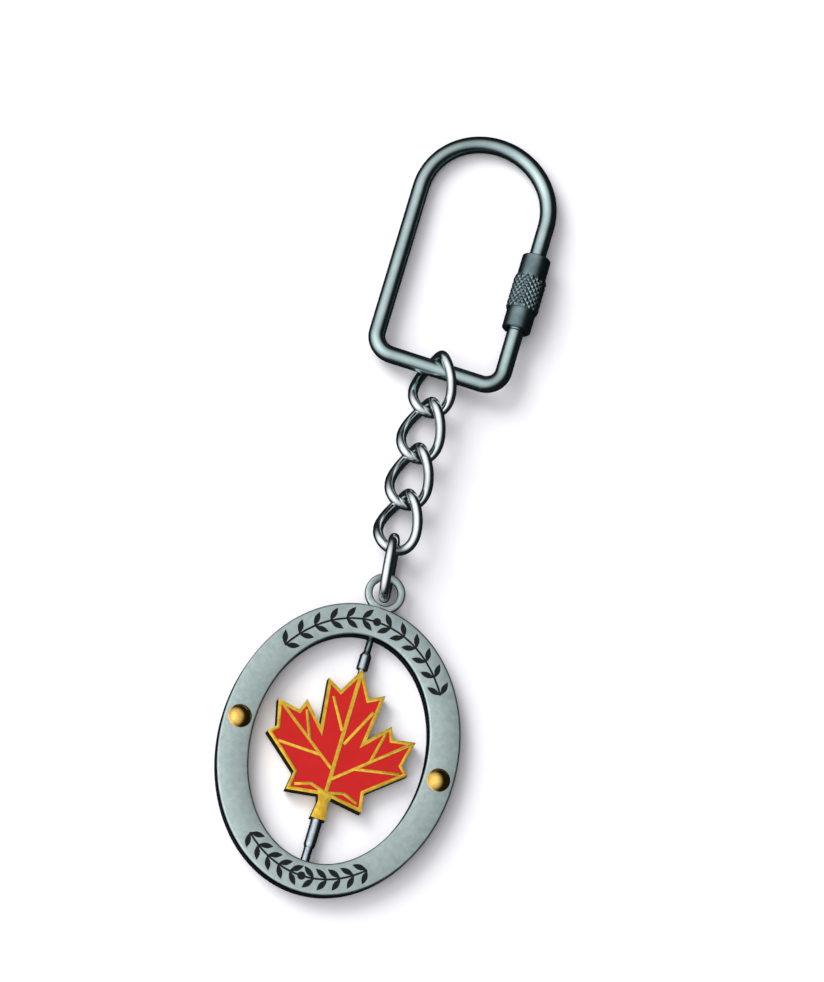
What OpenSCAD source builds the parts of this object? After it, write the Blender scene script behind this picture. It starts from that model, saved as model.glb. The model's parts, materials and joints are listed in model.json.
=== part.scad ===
// A keychain: a stirrup-shaped key ring with a screw sleeve, five curb links, and an oval medallion in
// which an enamelled maple leaf spins. It lies face up: X across, Y along it towards the key ring, Z up.

/* [Medallion frame] */
// Outer width of the oval frame
frame_w = 34.6; // [30:0.1:42]
// Outer length of the oval frame
frame_l = 43.4; // [38:0.1:54]
// Width of the frame's band
band_w = 4.6; // [3.8:0.1:5.6]
// Thickness of each of the two plates
plate_t = 1.5; // [1.4:0.1:2.2]
// Outer radius of the lug that holds the chain
lug_r = 2.95; // [2.7:0.05:4]
// Radius of the hole in the lug
lug_hole_r = 1.85; // [1.5:0.05:2.1]
// Thickness of the lug
lug_t = 1; // [0.8:0.1:1.2]
// Distance of the lug's face behind the frame's face
lug_set_back = 0.2; // [0.1:0.1:0.3]

/* [Rivets] */
// Diameter of a rivet's domed head
rivet_head_d = 3.4; // [2.4:0.1:3.8]
// Height of the dome
rivet_dome_h = 0.8; // [0.5:0.1:1.2]
// Diameter of a rivet's shank
rivet_shank_d = 1.6; // [1.2:0.1:2]

/* [Leaf] */
// Width of the leaf from side tip to side tip
leaf_w = 21.2; // [16:0.1:22.5]
// Thickness of the leaf
leaf_t = 2.2; // [1.8:0.1:2.6]
// Width of the raised rim
rim_w = 0.5; // [0.35:0.05:0.7]
// Width of a raised vein
vein_w = 0.42; // [0.3:0.02:0.6]
// Depth of the fields that hold the enamel
field_depth = 0.35; // [0.2:0.05:0.5]
// Distance of the enamel's face below the rim
enamel_below = 0.06; // [0:0.02:0.15]

/* [Axle] */
// Diameter of the upper pin's barrel
barrel_d = 1.7; // [1.4:0.1:2]
// Diameter of the upper pin's neck
upper_neck_d = 1; // [0.8:0.05:1.2]
// Diameter of the lower pin's neck
lower_neck_d = 1.3; // [1:0.05:1.5]
// Diameter of both pins inside the leaf
shank_d = 0.9; // [0.7:0.05:1]
// Length of the pins inside the frame
journal_l = 2.6; // [2:0.1:3]
// Radial clearance of the pins in the frame
axle_play = 0.06; // [0.03:0.01:0.1]

/* [Ornament] */
// Length of one leaflet of the garland
leaflet_l = 2.2; // [1.4:0.1:2.4]
// Width of one leaflet
leaflet_w = 0.86; // [0.5:0.02:0.9]
// Depth of the engraving
engraving = 0.25; // [0.15:0.05:0.4]

/* [Chain] */
// Diameter of the links' wire
link_wire_d = 1.5; // [1.2:0.05:1.5]
// Outer length of a link
link_l = 10.3; // [9.6:0.1:12]
// Outer width of a link
link_w = 7.3; // [7:0.1:8.5]
// Twist from a link's middle to each of its ends
link_twist = 45; // [40:1:50]
// Twist of the flat connector link that stands in the lug
connector_twist = 0; // [0:1:8]
// Gap between two links' wires when the chain is straight
link_gap = 0.12; // [0.1:0.01:0.3]

/* [Key ring] */
// Diameter of the ring's wire
ring_wire_d = 2.5; // [2:0.1:2.5]
// Outer width of the ring
ring_w = 21.9; // [19:0.1:28]
// Outer length of the ring
ring_l = 38.7; // [36:0.1:46]
// Radius of the two corners, at the wire's middle
corner_r = 2.8; // [2.2:0.1:4]

/* [Lock sleeve] */
// Diameter of the knurled grip
grip_d = 4.9; // [4.2:0.1:5.4]
// Diameter of the plain collars
collar_d = 4.3; // [3.8:0.1:5]
// Length of the lower collar
lower_collar_l = 3.1; // [2:0.1:4]
// Length of the knurled grip
grip_l = 5.3; // [4:0.1:6.4]
// Length of the upper collar
upper_collar_l = 3.4; // [2:0.1:4]
// Distance of the sleeve above the middle of the bar
sleeve_up = 9.5; // [7:0.1:10]
// Length of the threaded end that the sleeve covers
thread_l = 2; // [1:0.1:2.4]
// Radial clearance between the sleeve and the wire
sleeve_play = 0.06; // [0.03:0.01:0.1]

/* [Hidden] */
$fn = 64;

// The medallion: its middle is at x = 0, y = 0 before everything is shifted to the whole part's middle
outer_a = frame_w / 2;
outer_b = frame_l / 2;
inner_a = outer_a - band_w;
inner_b = outer_b - band_w;
frame_t = 2 * plate_t;
axle_z = plate_t;
rivet_x = outer_a - band_w / 2;
rivet_fit = 0.03;
rivet_tail_d = rivet_head_d - 0.6;
rivet_tail_h = 0.5;
rivet_tail_in = 0.05;
lug_y = outer_b + 2.3;
lug_top = frame_t - lug_set_back;
lug_z = lug_top - lug_t;

// The chain, from the key ring (first) to the lug (last)
link_r = link_wire_d / 2;
half_l = link_l / 2 - link_r;
half_w = link_w / 2 - link_r;
link_pitch = 2 * half_l - link_wire_d - link_gap;
link_lean = [4, 1.5, 3, 1.5, 6];
link_roll = [35, 33, 34, 34, -78];
link_turn = [link_twist, link_twist, link_twist, link_twist, connector_twist];
// Heights of the chain's joints above what it lies on, from the bar to the lug
joint_z = [3.04, 2.98, 3, 2.86, lug_top + link_r + 0.1, lug_top + link_r + 0.11];
// Where the connector link's wire stands in the lug's hole
tip_in_hole = [-0.15, link_r + 0.2 - lug_hole_r];

// Leaf outline, right half from tip to stem, drawn for a leaf of this width
drawn_w = 21.2;
leaf_size = leaf_w / drawn_w;
half_outline = [
    [0, 12.2], [2.15, 8.3], [4.3, 9.5], [3.5, 2.4], [6.4, 5.5], [7.1, 3.7], [10.4, 4.3], [9.5, 0.4],
    [10.6, -0.7], [5.3, -5.2], [5.7, -8], [1, -7.3], [0.75, -8.2], [1.1, -10.7]
];
leaf_outline = [
    for (p = half_outline) [p[0] * leaf_size, p[1]],
    for (i = [len(half_outline) - 1 : -1 : 1]) [-half_outline[i][0] * leaf_size, half_outline[i][1]]
];
leaf_top = half_outline[0][1];
leaf_foot = half_outline[len(half_outline) - 1][1];
// Veins on the front, each from one end to the other
midrib = [[0, leaf_top], [0, -7]];
side_veins = [
    [[0.2, -4.6], [10.5, 4.4]],
    [[-0.2, -3.2], [-10.5, 4.4]]
];
small_veins = [
    [[0.5, 0.8], [3.3, 6.6]],
    [[-0.3, 2.6], [-2.9, 7.1]],
    [[4.8, -0.6], [5.9, 4.2]],
    [[3, -2.2], [9.4, -0.9]],
    [[-4.4, -0.1], [-6, 4]],
    [[-2.3, -1.7], [-8.7, -1.6]],
    [[0, -6.8], [2.5, -6.1]],
    [[2.5, -6.1], [4.7, -6.9]],
    [[0, -6.8], [-2.5, -6.1]],
    [[-2.5, -6.1], [-4.7, -6.9]]
];
// The gold foot of the stem
foot_w = 2.4;
foot_y = -6.5;
far = 20;

// The pins' stretches along Y
upper_barrel = [12.25, 15];
taper_l = 0.5;
lower_shaft = [-14.5, leaf_foot];
upper_shank_in = 2.6;
lower_shank_in = 2.1;
shank_end_gap = 0.1;
shank_fit = 0.02;
bore_spare = 0.15;

// Garland: angles round the band, measured from the upper or the lower end
garland_a = (outer_a + inner_a) / 2;
garland_b = (outer_b + inner_b) / 2;
upper_span = 52;
lower_span = 36;
upper_pairs = 12;
lower_pairs = 10;
leaflet_slant = 44;
stem_w = 0.3;
leaflet_off = 0.08;
berry_r = 0.6;
inlay_below = 0.03;

// Key ring, measured from the middle of its bar
ring_r = ring_wire_d / 2;
ring_half = (ring_w - ring_wire_d) / 2;
arch_y = ring_l - ring_wire_d - ring_half;
ring_x = -2.4;
// How much lower the arch lies than the bar
ring_drop = 1.592;
ring_pitch = -asin(ring_drop / (ring_l - ring_wire_d));
ring_roll = -1.8;
bar_gap = 0.12;
sleeve_l = lower_collar_l + grip_l + upper_collar_l;
sleeve_travel = 4.3;
gate_low = sleeve_up + thread_l;
gate_high = sleeve_up + sleeve_travel;
bend_reach = 2;
bend_thinner = 0.01;
knurl_count = 16;
knurl_depth = 0.16;

// A unit vector with its lean from +Y towards -X and its rise towards +Z
function heading(lean, rise) = [-sin(lean) * cos(rise), cos(lean) * cos(rise), sin(rise)];

link_rise = [for (k = [0 : 4]) asin((joint_z[k] - joint_z[k + 1]) / link_pitch)];
link_way = [for (k = [0 : 4]) heading(link_lean[k], link_rise[k])];
// The joints of the chain: joint k is where link k ends at the top, half a link gap past its wire
overhang = (link_wire_d + link_gap) / 2;
hole_joint = [tip_in_hole[0], lug_y + tip_in_hole[1], joint_z[5]] + overhang * link_way[4];
function joint(k) = k == 5 ? hole_joint : joint(k + 1) + link_pitch * link_way[k];
bar_middle = joint(0) + (overhang - link_r - ring_r - bar_gap) * link_way[0];

// The whole part's middle line and its far ends, which set the origin
ring_top = bar_middle[1] + (ring_l - ring_r) * cos(ring_pitch);
part_mid_y = (ring_top - outer_b) / 2;

// A point of a link's wire, turning with t, and the wire's direction there
roundness = 2.45;
function swing(v) = sign(v) * pow(abs(v), 2 / roundness);
function link_point(t, twist) =
    let (along = half_l * swing(sin(t)), side = half_w * swing(cos(t)), turn = twist * along / half_l)
    [side * cos(turn), along, side * sin(turn)];
function unit(v) = v / norm(v);
function link_course(t, twist) = unit(link_point(t + 1, twist) - link_point(t - 1, twist));
function link_facing(t, twist) =
    let (turn = twist * link_point(t, twist)[1] / half_l) [-sin(turn), 0, cos(turn)];

// A closed round wire through points that turn with t: rings of sides points, joined to a loop
module looped_wire(r, rings, sides, twist) {
    skin = [
        for (i = [0 : rings - 1])
            let (
                t = (i + 0.5) * 360 / rings,
                course = link_course(t, twist),
                facing = link_facing(t, twist),
                up = unit(facing - (facing * course) * course),
                out = cross(up, course)
            )
            for (j = [0 : sides - 1])
                link_point(t, twist) + r * (cos(j * 360 / sides) * out + sin(j * 360 / sides) * up)
    ];
    function at(i, j) = (i % rings) * sides + (j % sides);
    polyhedron(
        skin,
        [
            for (i = [0 : rings - 1], j = [0 : sides - 1])
                each [[at(i, j), at(i + 1, j), at(i + 1, j + 1)], [at(i, j), at(i + 1, j + 1), at(i, j + 1)]]
        ],
        convexity = 6
    );
}

// Moves a child to link k's place
module at_link(k) {
    translate((joint(k) + joint(k + 1)) / 2)
        rotate([link_rise[k], 0, link_lean[k]])
            rotate([0, -link_roll[k], 0])
                children();
}

module chain_link(k) {
    color("silver") centred() at_link(k) looped_wire(link_r, 40, 12, link_turn[k]);
}

// Moves a child from the medallion's frame to the part's own
module centred() {
    translate([0, -part_mid_y, 0]) children();
}

// Lays a child that is drawn flat, with the bar's middle at 0, where the key ring lies
module at_ring() {
    centred() translate(bar_middle) rotate([ring_pitch, ring_roll, 0]) children();
}

module ring_post(x, low, high, r) {
    translate([x, low, 0]) rotate([-90, 0, 0]) cylinder(r = r, h = high - low);
}

// A bend that reaches a little into the straight wire at both of its ends, and is a hair thinner than it
module ring_elbow(x, y, start, sweep, r) {
    translate([x, y, 0]) rotate([0, 0, start - bend_reach])
        rotate_extrude(angle = sweep + 2 * bend_reach) translate([r, 0]) circle(r = ring_r - bend_thinner);
}

module key_ring() {
    mid = ring_x - bar_middle[0];
    color("slategray") at_ring() {
        translate([mid - ring_half + corner_r, 0, 0])
            rotate([0, 90, 0]) cylinder(r = ring_r, h = 2 * (ring_half - corner_r));
        ring_elbow(mid - ring_half + corner_r, corner_r, 180, 90, corner_r);
        ring_elbow(mid + ring_half - corner_r, corner_r, 270, 90, corner_r);
        ring_post(mid - ring_half, corner_r, arch_y, ring_r);
        ring_post(mid + ring_half, corner_r, gate_low, ring_r);
        ring_post(mid + ring_half, gate_high, arch_y, ring_r);
        ring_elbow(mid, arch_y, 0, 180, ring_half);
    }
}

module lock_sleeve() {
    mid = ring_x - bar_middle[0] + ring_half;
    grip_low = sleeve_up + lower_collar_l;
    color("slategray") at_ring() difference() {
        union() {
            ring_post(mid, sleeve_up, sleeve_up + sleeve_l, collar_d / 2);
            ring_post(mid, grip_low, grip_low + grip_l, grip_d / 2);
        }
        ring_post(mid, sleeve_up - 1, sleeve_up + sleeve_l + 1, ring_r + sleeve_play);
        for (i = [0 : knurl_count - 1])
            translate([mid, 0, 0]) rotate([0, i * 360 / knurl_count, 0])
                translate([grip_d / 2, grip_low + grip_l / 2, 0])
                    rotate([0, 45, 0]) cube([knurl_depth * 2, grip_l + 1, knurl_depth * 2], center = true);
    }
}

module oval(a, b, low, high) {
    translate([0, 0, low]) scale([a, b, 1]) cylinder(r = 1, h = high - low);
}

// The slab cuts the band's two faces flat
module band(low, high) {
    intersection() {
        difference() {
            oval(outer_a, outer_b, low - 1, high + 1);
            oval(inner_a, inner_b, low - 2, high + 2);
        }
        translate([-2 * far, -2 * far, low]) cube([4 * far, 4 * far, high - low]);
    }
}

// The round seats that the axle pins turn in, halved between the two plates
module axle_seats() {
    translate([0, inner_b - 1, axle_z]) rotate([-90, 0, 0])
        cylinder(d = upper_neck_d + 2 * axle_play, h = 1 + journal_l + bore_spare);
    translate([0, 1 - inner_b, axle_z]) rotate([90, 0, 0])
        cylinder(d = lower_neck_d + 2 * axle_play, h = 1 + journal_l + bore_spare);
}

module rivet_holes() {
    for (x = [-rivet_x, rivet_x])
        translate([x, 0, -1]) cylinder(d = rivet_shank_d + 2 * rivet_fit, h = frame_t + 2);
}

module leaflet() {
    steps = 5;
    polygon([
        for (i = [0 : steps]) let (u = i / steps) [u * leaflet_l, leaflet_w / 2 * sin(180 * u)],
        for (i = [steps - 1 : -1 : 1]) let (u = i / steps) [u * leaflet_l, -leaflet_w / 2 * sin(180 * u)]
    ]);
}

// A garland round one end of the band: a stem with a berry at its middle and, on both sides of that,
// pairs of slanted leaflets that point to it
module garland_solid(span, pairs, flip, high) {
    function on_band(angle, out) = [(garland_a + out) * sin(angle), flip * (garland_b + out) * cos(angle)];
    arc_steps = 2 * pairs;
    h = high - frame_t + engraving;
    translate([0, 0, frame_t - engraving]) {
        linear_extrude(h) polygon([
            for (i = [0 : arc_steps]) on_band(-span + 2 * span * i / arc_steps, stem_w / 2),
            for (i = [arc_steps : -1 : 0]) on_band(-span + 2 * span * i / arc_steps, -stem_w / 2)
        ]);
        translate(on_band(0, 0)) cylinder(r = berry_r, h = h);
        for (i = [0 : pairs / 2 - 1], half = [-1, 1]) {
            angle = half * (span - 2 * span * i / pairs);
            on = on_band(angle, 0);
            ahead = on_band(angle - half, 0) - on;
            way = atan2(ahead[1], ahead[0]);
            for (side = [-1, 1])
                translate(on) rotate(way + side * leaflet_slant) translate([leaflet_off, 0])
                    linear_extrude(h) leaflet();
        }
    }
}

module garland_inlay(span, pairs, flip) {
    color("black") centred() garland_solid(span, pairs, flip, frame_t - inlay_below);
}

module frame_front_plate() {
    color("lightsteelblue") centred() difference() {
        union() {
            band(plate_t, frame_t);
            difference() {
                translate([0, lug_y, lug_z]) cylinder(r = lug_r, h = lug_t);
                oval(inner_a, inner_b, plate_t, frame_t);
            }
        }
        translate([0, lug_y, 0]) cylinder(r = lug_hole_r, h = frame_t + 1);
        axle_seats();
        rivet_holes();
        garland_solid(upper_span, upper_pairs, 1, frame_t + 1);
        garland_solid(lower_span, lower_pairs, -1, frame_t + 1);
    }
}

module frame_back_plate() {
    color("lightsteelblue") centred() difference() {
        band(0, plate_t);
        axle_seats();
        rivet_holes();
        for (x = [-rivet_x, rivet_x])
            translate([x, 0, -1]) cylinder(d = rivet_tail_d, h = 1 + rivet_tail_h);
    }
}

// A rivet: a domed head on the face, a shank through both plates and a flat tail sunk in the back
module rivet(x) {
    head_r = rivet_head_d / 2;
    dome_r = (head_r * head_r + rivet_dome_h * rivet_dome_h) / (2 * rivet_dome_h);
    color("goldenrod") centred() translate([x, 0, 0]) {
        rotate_extrude() intersection() {
            translate([0, frame_t + rivet_dome_h - dome_r]) circle(r = dome_r);
            translate([0, frame_t]) square([head_r, rivet_dome_h]);
        }
        translate([0, 0, rivet_tail_in]) {
            cylinder(d = rivet_shank_d, h = frame_t - rivet_tail_in);
            cylinder(d = rivet_tail_d - 2 * rivet_fit, h = rivet_tail_h - rivet_tail_in);
        }
    }
}

// The polygon of an outline that runs clockwise, drawn in by a distance
function inset(points, by) = [
    for (i = [0 : len(points) - 1])
        let (
            n = len(points),
            before = unit(points[i] - points[(i + n - 1) % n]),
            after = unit(points[(i + 1) % n] - points[i]),
            in_before = [before[1], -before[0]],
            in_after = [after[1], -after[0]],
            mid = in_before + in_after
        )
        points[i] + by * 2 / (mid * mid) * mid
];

module vein(ends, w) {
    way = unit(ends[1] - ends[0]);
    aside = [-way[1], way[0]] * w / 2;
    polygon([ends[0] + aside, ends[1] + aside, ends[1] - aside, ends[0] - aside]);
}

module veins() {
    vein(midrib, vein_w * 1.3);
    for (ends = concat(side_veins, small_veins)) vein([for (p = ends) [p[0] * leaf_size, p[1]]], vein_w);
    translate([-foot_w / 2, -far]) square([foot_w, far + foot_y]);
}

module enamel_fields() {
    difference() {
        polygon(inset(leaf_outline, rim_w));
        veins();
    }
}

// What lies right of the midrib and above the side vein, wide enough to hold the leaf's whole quarter
module upper_quarter(side) {
    ends = side_veins[side > 0 ? 0 : 1];
    tip = [ends[1][0] * leaf_size, ends[1][1]];
    polygon([[0, far], [side * far, far], [side * far, tip[1]], tip, [0, ends[0][1]]]);
}

module field(side, upper) {
    if (upper) intersection() {
        enamel_fields();
        upper_quarter(side);
    }
    else difference() {
        intersection() {
            enamel_fields();
            translate([side > 0 ? 0 : -far, -far]) square([far, 2 * far]);
        }
        upper_quarter(side);
    }
}

module enamel(side, upper, front) {
    low = front ? axle_z + leaf_t / 2 - field_depth : axle_z - leaf_t / 2 + enamel_below;
    color("firebrick") centred() translate([0, 0, low])
        linear_extrude(field_depth - enamel_below) field(side, upper);
}

module pin_bores() {
    translate([0, leaf_top - upper_shank_in, axle_z]) rotate([-90, 0, 0])
        cylinder(d = shank_d + 2 * shank_fit, h = upper_shank_in + 1);
    translate([0, leaf_foot - 1, axle_z]) rotate([-90, 0, 0])
        cylinder(d = shank_d + 2 * shank_fit, h = 1 + lower_shank_in);
}

module leaf_casting() {
    color("gold") centred() difference() {
        translate([0, 0, axle_z - leaf_t / 2]) linear_extrude(leaf_t) polygon(leaf_outline);
        translate([0, 0, axle_z + leaf_t / 2 - field_depth]) linear_extrude(field_depth + 1) enamel_fields();
        translate([0, 0, axle_z - leaf_t / 2 - 1]) linear_extrude(field_depth + 1) enamel_fields();
        pin_bores();
    }
}

// A pin turned about the Y axis, from its radii [y, radius] along it
module turned_pin(profile) {
    first = [0, profile[0][0]];
    last = [0, profile[len(profile) - 1][0]];
    centred() translate([0, 0, axle_z]) rotate([-90, 0, 0])
        rotate_extrude() polygon(concat([first], [for (p = profile) [p[1], p[0]]], [last]));
}

module upper_axle_pin() {
    low = leaf_top - upper_shank_in + shank_end_gap;
    color("gray") turned_pin([
        [low, shank_d / 2], [upper_barrel[0], shank_d / 2], [upper_barrel[0], barrel_d / 2],
        [upper_barrel[1] - taper_l, barrel_d / 2], [upper_barrel[1], upper_neck_d / 2],
        [inner_b + journal_l, upper_neck_d / 2]
    ]);
}

module lower_axle_pin() {
    color("gray") turned_pin([
        [-inner_b - journal_l, lower_neck_d / 2], [lower_shaft[0] - taper_l, lower_neck_d / 2],
        [lower_shaft[0], barrel_d / 2], [lower_shaft[1], barrel_d / 2], [lower_shaft[1], shank_d / 2],
        [lower_shaft[1] + lower_shank_in - shank_end_gap, shank_d / 2]
    ]);
}

key_ring();
lock_sleeve();
chain_link(0);  // chain_link_1
chain_link(1);  // chain_link_2
chain_link(2);  // chain_link_3
chain_link(3);  // chain_link_4
chain_link(4);  // connector_link
frame_front_plate();
frame_back_plate();
rivet(-rivet_x);  // left_rivet
rivet(rivet_x);  // right_rivet
garland_inlay(upper_span, upper_pairs, 1);  // upper_garland_inlay
garland_inlay(lower_span, lower_pairs, -1);  // lower_garland_inlay
upper_axle_pin();
lower_axle_pin();
leaf_casting();
enamel(-1, true, true);  // front_enamel_upper_left
enamel(1, true, true);  // front_enamel_upper_right
enamel(-1, false, true);  // front_enamel_lower_left
enamel(1, false, true);  // front_enamel_lower_right
enamel(-1, true, false);  // back_enamel_upper_left
enamel(1, true, false);  // back_enamel_upper_right
enamel(-1, false, false);  // back_enamel_lower_left
enamel(1, false, false);  // back_enamel_lower_right
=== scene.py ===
"""A keychain with a spinning leaf medallion: its detailed model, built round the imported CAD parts."""

import json
from math import asin, atan2, cos, pi, radians, sin

import bmesh
import bpy
from bpy.props import FloatProperty, FloatVectorProperty, IntProperty, PointerProperty
from mathutils import Matrix, Vector

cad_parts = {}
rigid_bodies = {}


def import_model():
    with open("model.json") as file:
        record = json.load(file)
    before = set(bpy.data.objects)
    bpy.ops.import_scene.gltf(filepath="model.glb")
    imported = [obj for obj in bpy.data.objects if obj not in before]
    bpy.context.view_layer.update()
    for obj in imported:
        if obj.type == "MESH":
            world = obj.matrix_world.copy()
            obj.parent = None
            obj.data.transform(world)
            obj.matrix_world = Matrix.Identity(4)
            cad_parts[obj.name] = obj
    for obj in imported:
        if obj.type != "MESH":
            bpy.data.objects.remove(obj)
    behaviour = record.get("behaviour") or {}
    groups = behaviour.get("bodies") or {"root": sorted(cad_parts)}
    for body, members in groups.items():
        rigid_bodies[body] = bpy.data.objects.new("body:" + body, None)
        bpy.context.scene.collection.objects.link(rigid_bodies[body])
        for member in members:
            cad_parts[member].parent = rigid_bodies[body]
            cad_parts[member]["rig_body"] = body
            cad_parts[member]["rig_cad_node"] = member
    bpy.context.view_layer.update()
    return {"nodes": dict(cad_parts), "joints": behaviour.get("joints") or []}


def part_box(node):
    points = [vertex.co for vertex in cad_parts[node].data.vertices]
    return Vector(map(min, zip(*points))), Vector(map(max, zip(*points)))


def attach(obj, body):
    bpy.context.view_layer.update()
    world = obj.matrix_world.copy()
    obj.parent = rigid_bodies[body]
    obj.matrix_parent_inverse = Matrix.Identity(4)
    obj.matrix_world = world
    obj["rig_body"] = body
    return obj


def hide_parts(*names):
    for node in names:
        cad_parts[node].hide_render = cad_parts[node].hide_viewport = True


bl_info = {
    "name": "Spinning Leaf Keychain",
    "version": (1, 0, 0),
    "blender": (4, 5, 0),
    "location": "View3D > Sidebar > Keychain",
    "description": "Models a screw-lock key ring, a curb chain and an oval medallion with a spinning leaf",
    "category": "Object",
}

MM = 0.001
# How far a face must look up or down to be satin like the frame's faces, as a part of its normal; the other
# faces, the walls, get a darker colour that is painted shade
FACING = 0.25
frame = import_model()
JOINTS = {joint["name"]: joint for joint in frame["joints"]}
MEDALLION = Vector((JOINTS["leaf_spin"]["pos_m"][0], JOINTS["leaf_spin"]["pos_m"][1], 0))
CHAIN = ["chain_link_1", "chain_link_2", "chain_link_3", "chain_link_4", "connector_link"]
CHAIN_BODIES = ["link_1", "link_2", "link_3", "link_4", "link_5"]
# How each link lies: its rise, its lean from the Y axis and its roll, in degrees
CHAIN_LAY = [(0.479, 4, 35), (-0.16, 1.5, 33), (1.117, 3, 34), (-6.317, 1.5, 34), (-0.08, 6, -78)]


def linear(srgb):
    """Turns an sRGB hex colour to linear RGBA."""
    parts = [int(srgb[i : i + 2], 16) / 255 for i in (0, 2, 4)]
    return [p / 12.92 if p <= 0.04045 else ((p + 0.055) / 1.055) ** 2.4 for p in parts] + [1.0]


def size(name, description, default):
    """A length that a user may change, given in millimetres."""
    return FloatProperty(
        name=name, description=description, default=default * MM, min=0, precision=5, unit="LENGTH"
    )


def tilt(name, description, default):
    """An angle that a user may change, given in degrees."""
    return FloatProperty(name=name, description=description, default=radians(default), subtype="ANGLE")


def colour(name, description, srgb):
    """A colour that a user may change, given as sRGB hex."""
    return FloatVectorProperty(
        name=name, description=description, default=linear(srgb)[:3], size=3, min=0, max=1, subtype="COLOR"
    )


# ---------------------------------------------------------------- settings


class KeyRingSettings(bpy.types.PropertyGroup):
    wire: size("Wire", "Diameter of the ring's wire", 2.5)
    half_width: size("Half width", "Distance of each leg's wire from the ring's middle line", 9.7)
    corner: size("Corner radius", "Radius of the two lower corners, at the wire's middle", 2.8)
    arch: size("Arch height", "Height of the arch's centre above the middle of the bar", 26.5)
    middle: size("Bar middle", "How far the ring's middle line lies left of the point it hangs from", 0.255)
    gate_low: size("Gate, lower end", "Height of the threaded end above the middle of the bar", 11.5)
    gate_high: size("Gate, upper end", "Height of the plain end above the middle of the bar", 13.8)
    metal: colour("Dark nickel", "Colour of the ring's plating", "AEC0BD")
    metal_deep: colour("Dark nickel, deeper", "The darker shade that the plating drifts to", "99ADAD")


class LockSleeveSettings(bpy.types.PropertyGroup):
    low: size("Height", "Distance of the sleeve above the middle of the bar", 9.5)
    lower_collar: size("Lower collar", "Length of the plain collar below the grip", 3.1)
    grip: size("Grip", "Length of the knurled grip", 5.3)
    upper_collar: size("Upper collar", "Length of the plain collar above the grip", 3.4)
    collar_width: size("Collar diameter", "Diameter of both collars", 4.3)
    grip_width: size("Grip diameter", "Diameter over the knurl's points", 4.9)
    bore: size("Bore", "Diameter of the hole that the wire runs through", 2.62)
    knurl_depth: size("Knurl depth", "Depth of the valleys between the knurl's points", 0.17)
    knurl_points: IntProperty(
        name="Knurl points", description="Points of the knurl round the grip", default=18, min=8
    )
    knurl_rows: IntProperty(
        name="Knurl rows", description="Steps of the knurl along the grip", default=12, min=4
    )
    metal: colour("Gunmetal", "Colour of the sleeve's plating", "788B8D")
    metal_deep: colour("Gunmetal, deeper", "The darker shade that the plating drifts to", "637679")


class ChainSettings(bpy.types.PropertyGroup):
    wire: size("Wire", "Diameter of the links' wire", 1.5)
    length: size("Link length", "Outer length of a link", 10.3)
    width: size("Link width", "Outer width of a link", 7.3)
    twist: tilt("Twist", "Turn from a link's middle to each end", 45)
    roundness: FloatProperty(
        name="Roundness",
        description="2 is an ellipse, and more is nearer to a rectangle",
        default=2.45,
        min=2,
        max=6,
    )
    metal: colour("Bright nickel", "Colour of the links' plating", "DCE2E1")
    metal_deep: colour("Bright nickel, deeper", "The darker shade that the plating drifts to", "C3CCCC")


class PlateSettings(bpy.types.PropertyGroup):
    across: size("Half width", "Half of the oval frame's outer width", 17.3)
    along: size("Half length", "Half of the oval frame's outer length", 21.7)
    band: size("Band", "Width of the frame's band", 4.6)
    thickness: size("Plate thickness", "Thickness of each of the two plates", 1.5)
    rounding: size("Rounding", "Width of the rounded edge of a face", 0.32)
    lug_height: size("Lug height", "Distance of the lug's middle from the medallion's", 24)
    lug_outer: size("Lug radius", "Outer radius of the lug", 2.95)
    lug_inner: size("Lug hole radius", "Radius of the hole in the lug", 1.85)
    lug_top: size("Lug top", "Height of the lug's face above the back of the frame", 2.8)
    lug_thickness: size("Lug thickness", "Thickness of the lug", 1)
    metal: colour("Satin nickel", "Colour of the plating on the frame's face", "B9C9C3")
    metal_deep: colour("Satin nickel, deeper", "The bluish shade that the plating drifts to", "AABBBA")
    # The walls' colour is the same nickel painted darker: painted shade and a painted dark reflection on
    # every wall, in the recesses too
    walls: colour("Polished walls", "Colour of the frame's dark polished walls", "4A5A60")
    walls_deep: colour("Polished walls, deeper", "The darker shade that the walls drift to", "36454B")


class RivetSettings(bpy.types.PropertyGroup):
    head: size("Head radius", "Radius of a rivet's domed head", 1.7)
    dome: size("Dome", "Height of the dome above the frame's face", 0.8)
    shank: size("Shank radius", "Radius of a rivet's shank", 0.8)
    tail: size("Tail radius", "Radius of the flat tail that is sunk in the back", 1.37)
    tail_depth: size("Tail depth", "Height of the tail's inner face above the back of the frame", 0.5)
    from_middle: size("Distance", "Distance of each rivet from the medallion's middle", 15)
    metal: colour("Pale gold", "Colour of the rivets' plating", "E6C069")
    metal_deep: colour("Pale gold, deeper", "The browner shade that the plating drifts to", "CC9F48")


class PinSettings(bpy.types.PropertyGroup):
    shank: size("Shank radius", "Radius of both pins inside the leaf", 0.45)
    barrel: size("Barrel radius", "Radius of the upper barrel and of the lower shaft", 0.85)
    upper_neck: size("Upper neck radius", "Radius of the upper pin where it enters the frame", 0.5)
    lower_neck: size("Lower neck radius", "Radius of the lower pin where it enters the frame", 0.65)
    reach: size("Reach", "Distance of both pins' outer ends from the medallion's middle", 19.7)
    play: size("Play", "Radial clearance of the pins in the frame", 0.06)
    metal: colour("Turned steel", "Colour of the pins", "B9C4C9")
    metal_deep: colour("Turned steel, deeper", "The darker shade that the pins drift to", "98A6AD")


class LeafSettings(bpy.types.PropertyGroup):
    edge: size("Edge", "Width of the softened edges of the cast rim and veins", 0.11)
    metal: colour("Gold plate", "Colour of the leaf's plating", "E6C246")
    metal_deep: colour("Gold plate, deeper", "The browner shade that the plating drifts to", "CDA232")
    enamel: colour("Red enamel", "Colour of the leaf's enamel", "C71C18")
    enamel_deep: colour("Red enamel, deeper", "The darker shade that the enamel drifts to", "B81512")


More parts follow.
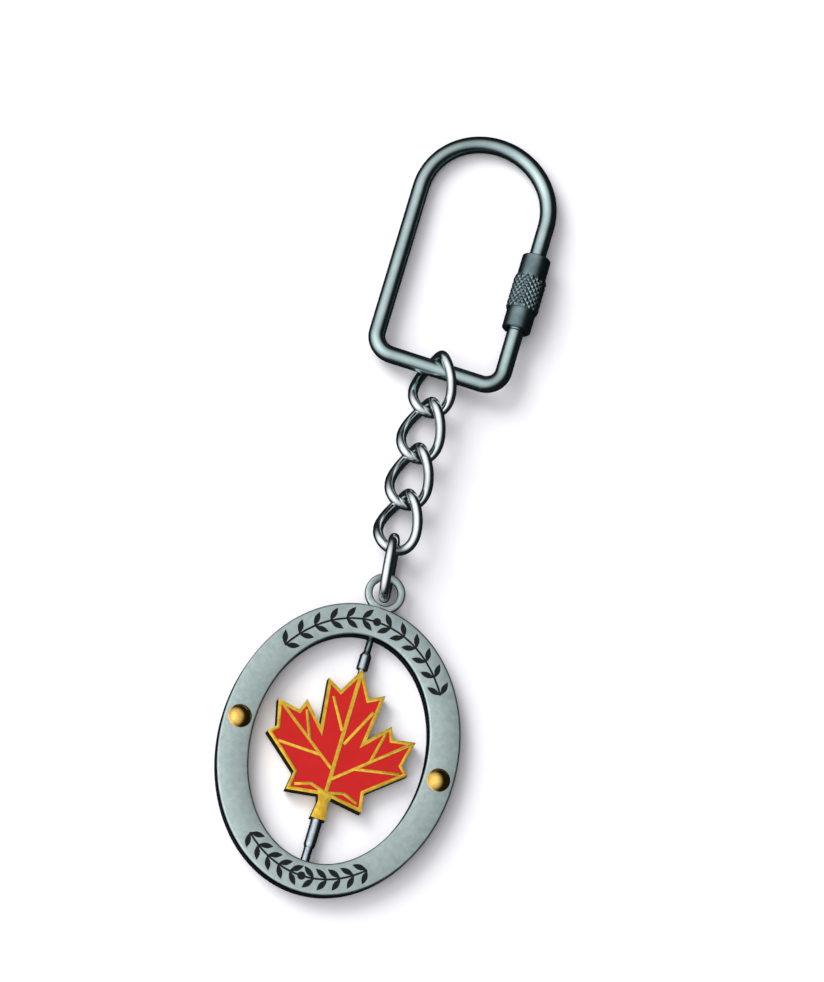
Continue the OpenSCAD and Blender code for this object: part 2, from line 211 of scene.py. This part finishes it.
class GarlandSettings(bpy.types.PropertyGroup):
    enamel: colour("Black enamel", "Colour of the garlands' filling", "1A1F21")
    enamel_deep: colour("Black enamel, deeper", "The darker shade that the filling drifts to", "101314")


class StageSettings(bpy.types.PropertyGroup):
    floor: colour("Floor", "Colour of the floor", "FAF9FB")
    lens: FloatProperty(
        name="Lens", description="Focal length of the camera, in millimetres", default=200, min=20
    )
    azimuth: tilt("Azimuth", "Turn of the camera round the object", -19.5)
    elevation: tilt("Elevation", "Height of the camera above the horizon", 73)
    roll: tilt("Roll", "Turn of the camera about its own view", 36.96)
    target: FloatVectorProperty(
        name="Target",
        description="Point at the picture's middle",
        default=(-0.00057, 0.0027, 0.0028),
        unit="LENGTH",
    )
    height: size("Picture height", "Length of the picture's tall side at the target", 142.4)


class KeychainSettings(bpy.types.PropertyGroup):
    key_ring: PointerProperty(type=KeyRingSettings)
    lock_sleeve: PointerProperty(type=LockSleeveSettings)
    chain: PointerProperty(type=ChainSettings)
    plates: PointerProperty(type=PlateSettings)
    rivets: PointerProperty(type=RivetSettings)
    axle_pins: PointerProperty(type=PinSettings)
    leaf: PointerProperty(type=LeafSettings)
    garlands: PointerProperty(type=GarlandSettings)
    stage: PointerProperty(type=StageSettings)


# ---------------------------------------------------------------- materials


def add_node(tree, kind, inputs=None, **settings):
    """Adds a node, sets its properties, and links or sets its inputs."""
    made = tree.nodes.new(kind)
    for name, value in settings.items():
        setattr(made, name, value)
    for name, value in (inputs or {}).items():
        if isinstance(value, bpy.types.NodeSocket):
            tree.links.new(value, made.inputs[name])
        else:
            made.inputs[name].default_value = value
    return made


def per_mm(width):
    """The scale that gives a pattern features of this width in millimetres."""
    return 1 / (width * MM)


def plated_metal(name, light, deep, roughness, patch, grain, relief):
    """A plated metal whose colour drifts in patches over a fine grain; sizes are in millimetres."""
    if name in bpy.data.materials:
        return bpy.data.materials[name]
    made = bpy.data.materials.new(name)
    made.use_nodes = True
    tree = made.node_tree
    shader = tree.nodes["Principled BSDF"]
    shader.inputs["Metallic"].default_value = 1
    place = add_node(tree, "ShaderNodeTexCoord").outputs["Object"]
    patches = add_node(
        tree, "ShaderNodeTexNoise", {"Vector": place, "Scale": per_mm(patch), "Detail": 3, "Roughness": 0.6}
    )
    grains = add_node(tree, "ShaderNodeTexNoise", {"Vector": place, "Scale": per_mm(grain), "Detail": 2})
    spread = add_node(
        tree, "ShaderNodeMapRange", {"Value": patches.outputs["Fac"], "From Min": 0.35, "From Max": 0.65}
    )
    tint = add_node(
        tree,
        "ShaderNodeMix",
        {"Factor": spread.outputs["Result"], 6: [*light, 1], 7: [*deep, 1]},
        data_type="RGBA",
    )
    polish = add_node(
        tree,
        "ShaderNodeMapRange",
        {"Value": grains.outputs["Fac"], "To Min": roughness * 0.85, "To Max": roughness * 1.15},
    )
    bump = add_node(
        tree, "ShaderNodeBump", {"Strength": 1, "Distance": relief * MM, "Height": grains.outputs["Fac"]}
    )
    tree.links.new(tint.outputs[2], shader.inputs["Base Color"])
    tree.links.new(polish.outputs["Result"], shader.inputs["Roughness"])
    tree.links.new(bump.outputs["Normal"], shader.inputs["Normal"])
    return made


def fired_enamel(name, light, deep, roughness, gloss):
    """Glossy enamel: a glass-like filling that is a little cloudy and not quite level."""
    if name in bpy.data.materials:
        return bpy.data.materials[name]
    made = bpy.data.materials.new(name)
    made.use_nodes = True
    tree = made.node_tree
    shader = tree.nodes["Principled BSDF"]
    shader.inputs["IOR"].default_value = 1.4
    shader.inputs["Specular IOR Level"].default_value = gloss
    place = add_node(tree, "ShaderNodeTexCoord").outputs["Object"]
    clouds = add_node(tree, "ShaderNodeTexNoise", {"Vector": place, "Scale": per_mm(2.4), "Detail": 4})
    waves = add_node(tree, "ShaderNodeTexNoise", {"Vector": place, "Scale": per_mm(1.3), "Detail": 1})
    tint = add_node(
        tree,
        "ShaderNodeMix",
        {"Factor": clouds.outputs["Fac"], 6: [*light, 1], 7: [*deep, 1]},
        data_type="RGBA",
    )
    polish = add_node(
        tree,
        "ShaderNodeMapRange",
        {"Value": clouds.outputs["Fac"], "To Min": roughness * 0.8, "To Max": roughness * 1.2},
    )
    bump = add_node(
        tree, "ShaderNodeBump", {"Strength": 1, "Distance": 0.02 * MM, "Height": waves.outputs["Fac"]}
    )
    tree.links.new(tint.outputs[2], shader.inputs["Base Color"])
    tree.links.new(polish.outputs["Result"], shader.inputs["Roughness"])
    tree.links.new(bump.outputs["Normal"], shader.inputs["Normal"])
    return made


# ---------------------------------------------------------------- modelling


def clear():
    """Leaves edit mode and deselects everything."""
    if bpy.context.mode != "OBJECT":
        bpy.ops.object.mode_set(mode="OBJECT")
    bpy.ops.object.select_all(action="DESELECT")


def only(piece):
    """Makes a piece the only selected object, and the active one."""
    clear()
    piece.hide_viewport = False
    piece.select_set(True)
    bpy.context.view_layer.objects.active = piece


def pick(kind, test):
    """In edit mode, selects only the faces or vertices that pass a test."""
    bpy.ops.mesh.select_mode(type="FACE" if kind == "faces" else "VERT")
    bpy.ops.mesh.select_all(action="DESELECT")
    mesh = bmesh.from_edit_mesh(bpy.context.object.data)
    for part in getattr(mesh, kind):
        part.select_set(bool(test(part)))
    mesh.select_flush_mode()
    bmesh.update_edit_mesh(bpy.context.object.data)


def extrude(x, y, z):
    """In edit mode, extrudes the selection by this much."""
    bpy.ops.mesh.extrude_region_move(TRANSFORM_OT_translate={"value": (x, y, z)})


def turned(name, profile, sides=48, closed=False):
    """A turned or oval solid about Z: a circle, extruded and resized along its profile.

    A profile's point is (height, radius across, radius along). A closed profile makes a ring round a hole.
    """
    low, across, along = profile[0]
    clear()
    bpy.ops.mesh.primitive_circle_add(
        vertices=sides, radius=1, fill_type="NOTHING" if closed else "NGON", enter_editmode=True
    )
    bpy.ops.mesh.select_mode(type="VERT")
    bpy.ops.mesh.select_all(action="SELECT")
    bpy.ops.transform.resize(value=(across, along, 1), center_override=(0, 0, 0))
    bpy.ops.transform.translate(value=(0, 0, low))
    for height, wide, long in profile[1:] + (profile[:1] if closed else []):
        extrude(0, 0, height - low)
        bpy.ops.transform.resize(value=(wide / across, long / along, 1), center_override=(0, 0, height))
        low, across, along = height, wide, long
    bpy.ops.mesh.select_all(action="SELECT")
    if closed:
        bpy.ops.mesh.remove_doubles(threshold=1e-7)
    bpy.ops.mesh.normals_make_consistent(inside=False)
    clear()
    piece = bpy.context.object
    piece.name = piece.data.name = name
    return piece


def round_profile(points):
    """The (height, radius) points of a round solid, as a turned profile."""
    return [(height * MM, radius * MM, radius * MM) for height, radius in points]


def combine(piece, other, operation):
    """Cuts another piece out of this one, or joins it to this one, and removes the other."""
    only(piece)
    tool = piece.modifiers.new("Combine", "BOOLEAN")
    tool.operation = operation
    tool.solver = "EXACT"
    tool.object = other
    bpy.ops.object.modifier_apply(modifier=tool.name)
    bpy.data.objects.remove(other)


def bore(piece, start, end, radius):
    """Cuts a round hole from one point to another."""
    way = Vector(end) - Vector(start)
    clear()
    bpy.ops.mesh.primitive_cylinder_add(
        vertices=42,
        radius=radius,
        depth=way.length,
        location=(Vector(start) + Vector(end)) / 2,
        rotation=way.to_track_quat("Z", "Y").to_euler(),
    )
    combine(piece, bpy.context.object, "DIFFERENCE")


def refined(node, name, edge):
    """A copy of a CAD node with its triangles merged to faces and its edges softened."""
    only(frame["nodes"][node])
    bpy.ops.object.duplicate()
    piece = bpy.context.object
    bpy.ops.object.parent_clear(type="CLEAR_KEEP_TRANSFORM")
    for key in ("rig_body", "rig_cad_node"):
        if key in piece:
            del piece[key]
    piece.name = piece.data.name = name
    piece.data.materials.clear()
    bpy.ops.mesh.customdata_custom_splitnormals_clear()
    bpy.ops.object.mode_set(mode="EDIT")
    bpy.ops.mesh.select_all(action="SELECT")
    bpy.ops.mesh.remove_doubles(threshold=1e-6)
    bpy.ops.mesh.dissolve_limited(angle_limit=radians(1))
    clear()
    if edge:
        only(piece)
        soften = piece.modifiers.new("Soften", "BEVEL")
        soften.width = edge
        soften.segments = 3
        soften.limit_method = "ANGLE"
        soften.angle_limit = radians(40)
        bpy.ops.object.modifier_apply(modifier=soften.name)
    return piece


def lay(piece, place):
    """Puts a piece in its place, with the place in its mesh and its object at the origin."""
    only(piece)
    piece.matrix_world = place @ piece.matrix_world
    bpy.ops.object.transform_apply(location=True, rotation=True, scale=True)


def hand_over(piece, body, nodes, metal, smooth=35):
    """Finishes a piece: smooth shading, its material, its body and the CAD nodes that it stands for."""
    only(piece)
    bpy.ops.object.shade_smooth_by_angle(angle=radians(smooth))
    if not piece.data.materials:
        piece.data.materials.append(metal)
    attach(piece, body)
    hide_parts(*nodes)


def paint(piece, metal, test):
    """Gives the faces that pass a test another material."""
    only(piece)
    piece.data.materials.append(metal)
    bpy.ops.object.mode_set(mode="EDIT")
    pick("faces", test)
    piece.active_material_index = len(piece.data.materials) - 1
    bpy.ops.object.material_slot_assign()
    clear()


def on_key_ring():
    """The place of the key ring: X along its bar, Y along its legs, from the point that it hangs from."""
    across = -Vector(JOINTS["ring_swing"]["axis"])
    along = Vector(JOINTS["sleeve_slide"]["axis"])
    place = Matrix((across, along, across.cross(along))).transposed().to_4x4()
    place.translation = JOINTS["ring_swing"]["pos_m"]
    return place


# ---------------------------------------------------------------- pieces


class KEYCHAIN_OT_key_ring(bpy.types.Operator):
    """Bends the key ring from one wire, with a threaded end and a plain end at its gate"""

    bl_idname = "keychain.key_ring"
    bl_label = "Key Ring"

    def execute(self, context):
        ring = context.scene.keychain.key_ring
        radius = ring.wire / 2
        leg = ring.half_width - ring.middle
        narrowed = 0.8
        chamfer, half_groove = 0.25 * MM, 0.2 * MM
        clear()
        bpy.ops.mesh.primitive_circle_add(
            vertices=36,
            radius=radius * narrowed,
            fill_type="NGON",
            location=(leg, ring.gate_low, 0),
            rotation=(pi / 2, 0, 0),
            enter_editmode=True,
        )
        # The thread: a chamfer and then a groove every 0.4 mm
        share = narrowed
        turns = [0.99, 0.88] * 5 + [1]
        for wanted in turns:
            extrude(0, -half_groove, 0)
            by = wanted / share
            bpy.ops.transform.resize(value=(by, 1, by), center_override=(leg, 0, 0))
            share = wanted
        low = ring.gate_low - half_groove * len(turns)
        extrude(0, ring.corner - low, 0)
        self.bend((leg - ring.corner, ring.corner, 0), 90, 14)
        bar = 2 * (ring.half_width - ring.corner)
        extrude(-bar, 0, 0)
        self.bend((leg - ring.corner - bar, ring.corner, 0), 90, 14)
        extrude(0, ring.arch - ring.corner, 0)
        self.bend((-ring.middle, ring.arch, 0), 180, 56)
        # The plain end of the gate, with its chamfer
        extrude(0, ring.gate_high - ring.arch + chamfer, 0)
        extrude(0, -chamfer, 0)
        bpy.ops.transform.resize(value=(narrowed, 1, narrowed), center_override=(leg, 0, 0))
        bpy.ops.mesh.select_all(action="SELECT")
        bpy.ops.mesh.normals_make_consistent(inside=False)
        clear()
        piece = context.object
        piece.name = piece.data.name = "key_ring_wire"
        lay(piece, on_key_ring())
        # Dark nickel plate on drawn steel wire: smooth and glossy, with faint drawing lines
        metal = plated_metal("Dark Nickel Plate", ring.metal, ring.metal_deep, 0.16, 6, 0.18, 0.0015)
        hand_over(piece, "ring", ["key_ring"], metal)
        return {"FINISHED"}

    def bend(self, centre, angle, steps):
        """Carries the wire's end round a centre, clockwise as seen from above."""
        for _ in range(steps):
            turn = radians(angle / steps)
            bpy.ops.mesh.extrude_region_move()
            bpy.ops.transform.rotate(
                value=turn, orient_axis="Z", orient_type="GLOBAL", center_override=centre
            )


class KEYCHAIN_OT_lock_sleeve(bpy.types.Operator):
    """Turns the lock sleeve and raises the diamond knurl on its grip"""

    bl_idname = "keychain.lock_sleeve"
    bl_label = "Lock Sleeve"

    def execute(self, context):
        sleeve = context.scene.keychain.lock_sleeve
        ring = context.scene.keychain.key_ring
        hole, collar, grip = sleeve.bore / 2, sleeve.collar_width / 2, sleeve.grip_width / 2
        top = sleeve.low + sleeve.lower_collar + sleeve.grip + sleeve.upper_collar
        start = sleeve.low + sleeve.lower_collar
        end = start + sleeve.grip
        edge, ramp = 0.15 * MM, 0.02 * MM
        rows = [start + sleeve.grip * i / sleeve.knurl_rows for i in range(1, sleeve.knurl_rows)]
        points = [(sleeve.low + edge, hole), (sleeve.low, hole + edge), (sleeve.low, collar - edge)]
        points += [(sleeve.low + edge, collar), (start - ramp, collar), (start, grip - edge)]
        points += [(height, grip) for height in rows]
        points += [(end, grip - edge), (end + ramp, collar), (top - edge, collar)]
        points += [(top, collar - edge), (top, hole + edge), (top - edge, hole)]
        piece = turned("lock_sleeve_body", [(h, r, r) for h, r in points], 2 * sleeve.knurl_points, True)
        only(piece)
        bpy.ops.object.mode_set(mode="EDIT")
        step = pi / sleeve.knurl_points

        def valley(vertex):
            place = vertex.co
            on_grip = start + edge < place.z < end - edge
            if not on_grip or Vector((place.x, place.y)).length < grip - 2 * edge:
                return False
            row = round((place.z - start) / sleeve.grip * sleeve.knurl_rows)
            return (round(atan2(place.y, place.x) / step) + row) % 2 == 1

        pick("verts", valley)
        inward = 1 - sleeve.knurl_depth / grip
        bpy.ops.transform.resize(value=(inward, inward, 1), center_override=(0, 0, start))
        pick("faces", lambda face: start < face.calc_center_median().z < end)
        bpy.ops.mesh.quads_convert_to_tris(quad_method="SHORTEST_DIAGONAL")
        clear()
        leg = Matrix.Translation((ring.half_width - ring.middle, 0, 0)) @ Matrix.Rotation(-pi / 2, 4, "X")
        lay(piece, on_key_ring() @ leg)
        # Black-nickel plated brass, turned and knurled: darker than the wire, with a dull sheen
        metal = plated_metal("Gunmetal Plate", sleeve.metal, sleeve.metal_deep, 0.3, 2, 0.12, 0.003)
        hand_over(piece, "sleeve", ["lock_sleeve"], metal, 14)
        return {"FINISHED"}


class KEYCHAIN_OT_chain(bpy.types.Operator):
    """Bends a curb link once, copies it along the chain, and adds the flat connector link"""

    bl_idname = "keychain.chain"
    bl_label = "Chain"

    def execute(self, context):
        chain = context.scene.keychain.chain
        # Bright nickel plate on steel wire: nearly a mirror
        metal = plated_metal("Bright Nickel Plate", chain.metal, chain.metal_deep, 0.1, 3, 0.2, 0.001)
        curb = self.link(chain, "curb_link", chain.twist)
        flat = self.link(chain, "flat_link", 0)
        for node, body, (rise, lean, roll) in zip(CHAIN, CHAIN_BODIES, CHAIN_LAY):
            only(flat if body == "link_5" else curb)
            bpy.ops.object.duplicate()
            piece = context.object
            piece.name = piece.data.name = node + "_wire"
            corners = [vertex.co for vertex in frame["nodes"][node].data.vertices]
            turn = Matrix.Rotation(radians(lean), 4, "Z") @ Matrix.Rotation(radians(rise), 4, "X")
            middle = Matrix.Translation(sum(corners, Vector()) / len(corners))
            lay(piece, middle @ turn @ Matrix.Rotation(radians(-roll), 4, "Y"))
            hand_over(piece, body, [node], metal, 60)
        bpy.data.objects.remove(curb)
        bpy.data.objects.remove(flat)
        return {"FINISHED"}

    def link(self, chain, name, twist):
        """A closed link along Y: a circle laid on the link's course, given the wire's thickness."""
        half_length = (chain.length - chain.wire) / 2
        half_width = (chain.width - chain.wire) / 2
        clear()
        bpy.ops.mesh.primitive_circle_add(vertices=96, radius=1)
        piece = bpy.context.object
        for vertex in piece.data.vertices:
            side, ahead = vertex.co.x, vertex.co.y
            along = half_length * abs(ahead) ** (2 / chain.roundness) * (1 if ahead > 0 else -1)
            aside = half_width * abs(side) ** (2 / chain.roundness) * (1 if side > 0 else -1)
            turn = twist * along / half_length
            vertex.co = (aside * cos(turn), along, aside * sin(turn))
        only(piece)
        bpy.ops.object.convert(target="CURVE")
        piece = bpy.context.object
        piece.data.bevel_depth = chain.wire / 2
        piece.data.bevel_resolution = 5
        bpy.ops.object.convert(target="MESH")
        piece = bpy.context.object
        bpy.ops.object.mode_set(mode="EDIT")
        bpy.ops.mesh.select_all(action="SELECT")
        bpy.ops.mesh.remove_doubles(threshold=1e-7)
        bpy.ops.mesh.normals_make_consistent(inside=False)
        clear()
        piece.name = name
        return piece


class KEYCHAIN_OT_plates(bpy.types.Operator):
    """Models the frame's two oval plates, with the lug, the pins' seats and the engraving"""

    bl_idname = "keychain.plates"
    bl_label = "Frame Plates"

    def execute(self, context):
        plates = context.scene.keychain.plates
        thick = plates.thickness
        # Satin nickel plate on a zinc casting: matt and a little mottled; the polished walls are the same
        # nickel painted darker, as painted shade and a painted dark reflection
        face = plated_metal("Satin Nickel Plate", plates.metal, plates.metal_deep, 0.42, 0.9, 0.09, 0.006)
        painted_dark_wall = plated_metal("Dark Polished Nickel", plates.walls, plates.walls_deep, 0.24, 3, 0.15, 0.002)
        front = self.plate(plates, "frame_front", thick, 1)
        lug = self.lug(plates)
        combine(front, lug, "UNION")
        for node in ("upper_garland_inlay", "lower_garland_inlay"):
            self.engrave(front, node)
        back = self.plate(plates, "frame_back", thick, -1)
        self.fit(context, front)
        self.fit(context, back)
        for piece, node, out in ((front, "frame_front_plate", 1), (back, "frame_back_plate", -1)):
            piece.data.materials.clear()
            piece.data.materials.append(painted_dark_wall)
            # Faces that fail the test keep the walls' darker nickel, which is painted shade
            paint(piece, face, lambda part: self.is_satin(part, plates, out))
            hand_over(piece, "frame", [node], face)
        return {"FINISHED"}

    def is_satin(self, part, plates, out):
        """Whether a face belongs to a plate's outer face, or to either face of the lug; the faces that fail
        keep the walls' darker colour, which is painted shade.
        """
        on_lug = part.calc_center_median().y > MEDALLION.y + plates.along
        return (abs(part.normal.z) if on_lug else part.normal.z * out) > FACING

    def plate(self, plates, name, seam, out):
        """An oval plate from the seam outwards, with its outer face's edges rounded."""
        edge = plates.rounding
        face = seam + out * plates.thickness
        # The small chamfer that shows the seam between the two plates
        slit = 0.04 * MM
        rounding = [(1 - cos(a), 1 - sin(a)) for a in (0, pi / 8, pi / 4, 3 * pi / 8, pi / 2)]
        inner = [(seam + out * slit, 0)]
        inner += [(face - out * edge * down, edge * side) for side, down in rounding]
        outer = [(z, plates.band - offset) for z, offset in reversed(inner)]
        points = [(seam, slit)] + inner + outer + [(seam, plates.band - slit)]
        across, along = plates.across - plates.band, plates.along - plates.band
        piece = turned(name, [(z, across + offset, along + offset) for z, offset in points], 144, True)
        lay(piece, Matrix.Translation(MEDALLION))
        return piece

    def lug(self, plates):
        """The round lug, a ring with rounded edges."""
        top, low = plates.lug_top, plates.lug_top - plates.lug_thickness
        edge = 0.28 * MM
        inner, outer = plates.lug_inner, plates.lug_outer
        corners = []
        bevel_steps = 3
        bevels = ((top, inner, 90), (top, outer, 0), (low, outer, -90), (low, inner, 180))
        for height, radius, start in bevels:
            centre_z = height - edge if height == top else height + edge
            centre_r = radius - edge if radius == outer else radius + edge
            for k in range(bevel_steps + 1):
                angle = radians(start + 90 - 90 / bevel_steps * k)
                corners.append((centre_z + edge * sin(angle), centre_r + edge * cos(angle)))
        piece = turned("lug", [(z, r, r) for z, r in corners], 56, True)
        lay(piece, Matrix.Translation(MEDALLION + Vector((0, plates.lug_height, 0))))
        return piece

    def engrave(self, front, node):
        """Cuts the recess that a garland's filling lies in."""
        cutter = refined(node, "garland_cutter", 0)
        only(cutter)
        bpy.ops.object.mode_set(mode="EDIT")
        middle = sum(corner.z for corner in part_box(node)) / 2
        pick("verts", lambda vertex: vertex.co.z > middle)
        bpy.ops.transform.translate(value=(0, 0, MM))
        clear()
        combine(front, cutter, "DIFFERENCE")

    def fit(self, context, piece):
        """Cuts the round seats of the axle pins and the rivets' holes."""
        pins, rivets = context.scene.keychain.axle_pins, context.scene.keychain.rivets
        plates = context.scene.keychain.plates
        end = pins.reach + 0.15 * MM
        inside = plates.along - plates.band - MM
        seat = Vector((0, 0, plates.thickness))
        for out, neck in ((Vector((0, 1, 0)), pins.upper_neck), (Vector((0, -1, 0)), pins.lower_neck)):
            middle = MEDALLION + seat
            bore(piece, middle + out * inside, middle + out * end, neck + pins.play)
        below, slack = Vector((0, 0, -MM)), 0.03 * MM
        through, countersink = Vector((0, 0, 5 * MM)), Vector((0, 0, rivets.tail_depth))
        for side in (-1, 1):
            middle = MEDALLION + Vector((side * rivets.from_middle, 0, 0))
            bore(piece, middle + below, middle + through, rivets.shank + slack)
            bore(piece, middle + below, middle + countersink, rivets.tail + slack)


class KEYCHAIN_OT_rivets(bpy.types.Operator):
    """Turns a rivet with a domed head and sets one on each side of the frame"""

    bl_idname = "keychain.rivets"
    bl_label = "Rivets"

    def execute(self, context):
        rivets = context.scene.keychain.rivets
        face = 2 * context.scene.keychain.plates.thickness
        ball = (rivets.head**2 + rivets.dome**2) / (2 * rivets.dome)
        last = asin(rivets.head / ball)
        steps, edge = 15, 0.05 * MM
        points = [(edge, rivets.tail - edge), (2 * edge, rivets.tail), (rivets.tail_depth, rivets.tail)]
        points += [(rivets.tail_depth, rivets.shank), (face, rivets.shank), (face, rivets.head - 1.2 * edge)]
        points.append((face + edge, rivets.head))
        for step in range(steps - 1, 0, -1):
            angle = last * step / steps
            points.append((face + rivets.dome - ball * (1 - cos(angle)), ball * sin(angle)))
        # Gold plate on brass, burnished by the setting tool
        metal = plated_metal("Pale Gold Plate", rivets.metal, rivets.metal_deep, 0.12, 1.2, 0.4, 0.001)
        for side, node in ((-1, "left_rivet"), (1, "right_rivet")):
            piece = turned(node + "_set", [(z, r, r) for z, r in points])
            lay(piece, Matrix.Translation(MEDALLION + Vector((side * rivets.from_middle, 0, 0))))
            hand_over(piece, "frame", [node], metal)
        return {"FINISHED"}


class KEYCHAIN_OT_garlands(bpy.types.Operator):
    """Gives the two engraved garlands their black enamel"""

    bl_idname = "keychain.garlands"
    bl_label = "Garlands"

    def execute(self, context):
        garlands = context.scene.keychain.garlands
        # Stoving enamel rubbed into the engraving: near-black, with a soft sheen
        enamel = fired_enamel("Black Stoving Enamel", garlands.enamel, garlands.enamel_deep, 0.45, 0.2)
        for node in ("upper_garland_inlay", "lower_garland_inlay"):
            inlay = frame["nodes"][node]
            inlay.data.materials.clear()
            inlay.data.materials.append(enamel)
        return {"FINISHED"}


class KEYCHAIN_OT_axle_pins(bpy.types.Operator):
    """Turns the two pins that the leaf spins on"""

    bl_idname = "keychain.axle_pins"
    bl_label = "Axle Pins"

    def execute(self, context):
        pins = context.scene.keychain.axle_pins
        # Both profiles are (distance from the medallion's middle, radius), in millimetres
        reach = pins.reach / MM
        shank, barrel = pins.shank / MM, pins.barrel / MM
        upper, lower = pins.upper_neck / MM, pins.lower_neck / MM
        above = [(9.7, shank - 0.1), (9.8, shank), (12.25, shank), (12.25, barrel - 0.1), (12.35, barrel)]
        above += [(14.4, barrel), (14.5, barrel - 0.03), (14.95, upper + 0.06), (15.05, upper)]
        above += [(reach - 0.1, upper), (reach, upper - 0.1)]
        below = [(-reach, lower - 0.1), (-reach + 0.1, lower), (-15, lower), (-14.95, lower + 0.05)]
        below += [(-14.55, barrel - 0.02), (-14.45, barrel), (-10.78, barrel), (-10.7, barrel - 0.08)]
        below += [(-10.7, shank), (-8.8, shank), (-8.7, shank - 0.1)]
        # Turned steel: bright, with fine turning marks
        metal = plated_metal("Turned Steel", pins.metal, pins.metal_deep, 0.2, 1.5, 0.1, 0.002)
        axis = Matrix.Translation(JOINTS["leaf_spin"]["pos_m"]) @ Matrix.Rotation(-pi / 2, 4, "X")
        for name, points in (("upper_axle_pin", above), ("lower_axle_pin", below)):
            piece = turned(name + "_turned", round_profile(points), 40)
            lay(piece, axis)
            hand_over(piece, "leaf", [name], metal)
        return {"FINISHED"}


class KEYCHAIN_OT_leaf(bpy.types.Operator):
    """Softens the edges of the cast leaf and fills its fields with red enamel"""

    bl_idname = "keychain.leaf"
    bl_label = "Leaf"

    def execute(self, context):
        leaf = context.scene.keychain.leaf
        # Gold plate on a zinc casting: warm, and bright on the raised lines
        metal = plated_metal("Gold Plate", leaf.metal, leaf.metal_deep, 0.26, 0.9, 0.12, 0.004)
        piece = refined("leaf_casting", "leaf_casting_gilt", leaf.edge)
        hand_over(piece, "leaf", ["leaf_casting"], metal, 30)
        # Soft enamel: opaque red with a glassy surface a little below the metal
        enamel = fired_enamel("Red Soft Enamel", leaf.enamel, leaf.enamel_deep, 0.3, 0.3)
        for node in frame["nodes"]:
            if "_enamel_" in node:
                field = frame["nodes"][node]
                field.data.materials.clear()
                field.data.materials.append(enamel)
        return {"FINISHED"}


class KEYCHAIN_OT_stage(bpy.types.Operator):
    """Adds the floor, the soft studio light and the camera"""

    bl_idname = "keychain.stage"
    bl_label = "Stage"

    def execute(self, context):
        stage = context.scene.keychain.stage
        clear()
        bpy.ops.mesh.primitive_plane_add(size=4)
        floor = context.object
        floor.name = floor.data.name = "floor"
        # Matt white card
        card = bpy.data.materials.new("Matt White Card")
        card.use_nodes = True
        tree = card.node_tree
        shader = tree.nodes["Principled BSDF"]
        shader.inputs["Roughness"].default_value = 1
        shader.inputs["Specular IOR Level"].default_value = 0
        shader.inputs["Base Color"].default_value = [*stage.floor, 1]
        floor.data.materials.append(card)
        floor.visible_glossy = False

        world = context.scene.world or bpy.data.worlds.new("studio")
        context.scene.world = world
        world.use_nodes = True
        tree = world.node_tree
        way = add_node(tree, "ShaderNodeTexCoord").outputs["Generated"]
        # A dark room under a broad pale screen, which leans towards the picture's left
        lean = add_node(
            tree, "ShaderNodeVectorMath", {0: way, 1: (-0.591, -0.172, 0.788)}, operation="DOT_PRODUCT"
        )
        ramp = add_node(tree, "ShaderNodeValToRGB", {"Fac": lean.outputs["Value"]})
        stops = ramp.color_ramp
        levels = ((0.2, 0.03), (0.35, 0.2), (0.5, 0.55), (0.65, 0.9), (0.85, 1.35))
        for place, level in levels:
            stop = stops.elements.new(place)
            stop.color = [level, level, level * 1.04, 1]
        stops.elements[0].color = [0.015, 0.018, 0.022, 1]
        stops.elements[-1].color = [2, 2, 2.05, 1]
        tree.links.new(ramp.outputs["Color"], tree.nodes["Background"].inputs["Color"])

        # The lamp itself isn't mirrored in the metal, only the screen
        place = (-0.587, 0.301, 0.535)
        bpy.ops.object.light_add(type="AREA", location=place)
        light = context.object
        light.name = light.data.name = "key_light"
        light.data.size = 0.45
        light.data.energy = 4.8
        light.visible_glossy = False
        light.rotation_euler = Vector(place).to_track_quat("Z", "Y").to_euler()

        target = Vector(stage.target)
        turn = Matrix.Rotation(stage.azimuth, 4, "Z") @ Matrix.Rotation(pi / 2 - stage.elevation, 4, "X")
        turn = turn @ Matrix.Rotation(stage.roll, 4, "Z")
        bpy.ops.object.camera_add()
        camera = context.object
        camera.name = camera.data.name = "camera"
        camera.data.lens = stage.lens
        camera.data.sensor_width = 36
        distance = stage.height * stage.lens / camera.data.sensor_width
        camera.matrix_world = Matrix.Translation(target) @ turn @ Matrix.Translation((0, 0, distance))
        camera.data.clip_start = 0.01
        camera.data.clip_end = 20
        context.scene.camera = camera
        context.scene.view_settings.view_transform = "Standard"
        return {"FINISHED"}


PIECES = ["key_ring", "lock_sleeve", "chain", "plates", "rivets", "garlands", "axle_pins", "leaf", "stage"]


class KEYCHAIN_PT_panel(bpy.types.Panel):
    """Lists the keychain's pieces with their sizes and colours"""

    bl_idname = "KEYCHAIN_PT_panel"
    bl_label = "Keychain"
    bl_space_type = "VIEW_3D"
    bl_region_type = "UI"
    bl_category = "Keychain"

    def draw(self, context):
        for piece in PIECES:
            settings = getattr(context.scene.keychain, piece)
            box = self.layout.box()
            box.operator("keychain." + piece)
            for name in settings.__annotations__:
                box.prop(settings, name)


CLASSES = [
    KeyRingSettings,
    LockSleeveSettings,
    ChainSettings,
    PlateSettings,
    RivetSettings,
    PinSettings,
    LeafSettings,
    GarlandSettings,
    StageSettings,
    KeychainSettings,
    KEYCHAIN_OT_key_ring,
    KEYCHAIN_OT_lock_sleeve,
    KEYCHAIN_OT_chain,
    KEYCHAIN_OT_plates,
    KEYCHAIN_OT_rivets,
    KEYCHAIN_OT_garlands,
    KEYCHAIN_OT_axle_pins,
    KEYCHAIN_OT_leaf,
    KEYCHAIN_OT_stage,
    KEYCHAIN_PT_panel,
]


def register():
    for item in CLASSES:
        bpy.utils.register_class(item)
    bpy.types.Scene.keychain = PointerProperty(type=KeychainSettings)


def unregister():
    del bpy.types.Scene.keychain
    for item in reversed(CLASSES):
        bpy.utils.unregister_class(item)


def main():
    """Makes every piece."""
    register()
    for piece in PIECES:
        getattr(bpy.ops.keychain, piece)()


if __name__ == "__main__":
    main()
